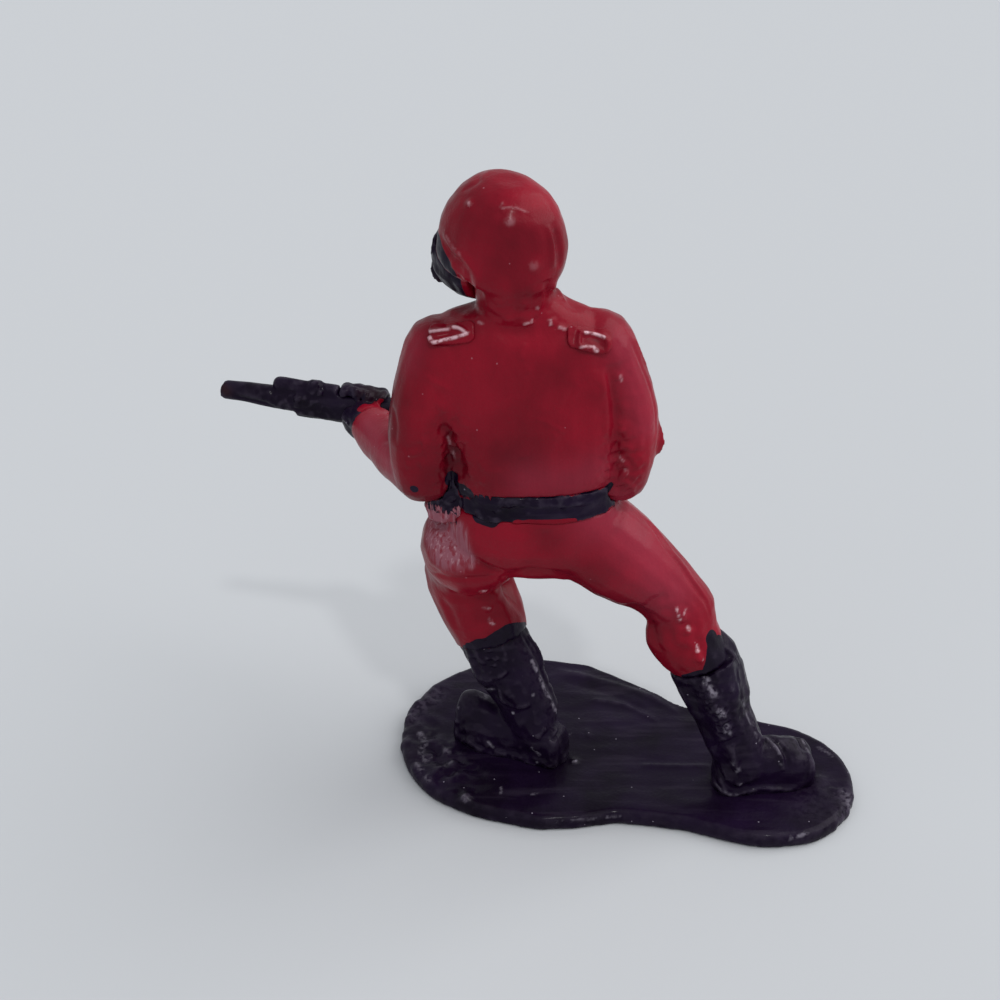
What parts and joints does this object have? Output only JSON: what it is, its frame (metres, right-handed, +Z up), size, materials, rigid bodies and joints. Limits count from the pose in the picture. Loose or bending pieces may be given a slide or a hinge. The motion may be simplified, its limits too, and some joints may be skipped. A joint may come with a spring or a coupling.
{
  "type": "toy soldier figure",
  "caption": "Crouching toy soldier moulded on a two-lobed flat stand, in helmet, gas mask and boots, with a rifle held across the belly.",
  "frame": {"origin": "middle of the stand's flat underside", "axes": "+Z up, +Y the way the chest faces, -X the way the rifle points; the soldier's left is -X"},
  "size_m": [0.0447, 0.0212, 0.047],
  "materials": {
    "crimson_paint": "glossy crimson paint, brushed by hand over the black moulding, worn through at edges and parting lines",
    "black_plastic": "bare moulded black plastic, satin to glossy, with fine scratches and dust"
  },
  "bodies": {
    "root": {"stand": "black_plastic", "left_sole": "black_plastic", "right_sole": "black_plastic", "left_boot": "black_plastic", "right_boot": "black_plastic", "left_trouser_leg": "crimson_paint", "right_trouser_leg": "crimson_paint", "trouser_seat": "crimson_paint", "belt": "black_plastic", "buckle": "black_plastic", "hip_pouch": "black_plastic", "jacket": "crimson_paint", "left_sleeve": "crimson_paint", "right_sleeve": "crimson_paint", "left_glove": "black_plastic", "right_glove": "black_plastic", "left_shoulder_strap": "crimson_paint", "right_shoulder_strap": "crimson_paint", "collar": "crimson_paint", "hood": "crimson_paint", "helmet": "crimson_paint", "face_mask": "black_plastic", "left_eyepiece": "black_plastic", "right_eyepiece": "black_plastic", "mask_filter": "black_plastic", "barrel": "black_plastic", "gas_tube": "black_plastic", "handguard": "black_plastic", "receiver": "black_plastic", "magazine": "black_plastic", "pistol_grip": "black_plastic", "stock": "black_plastic"}
  },
  "joints": []
}
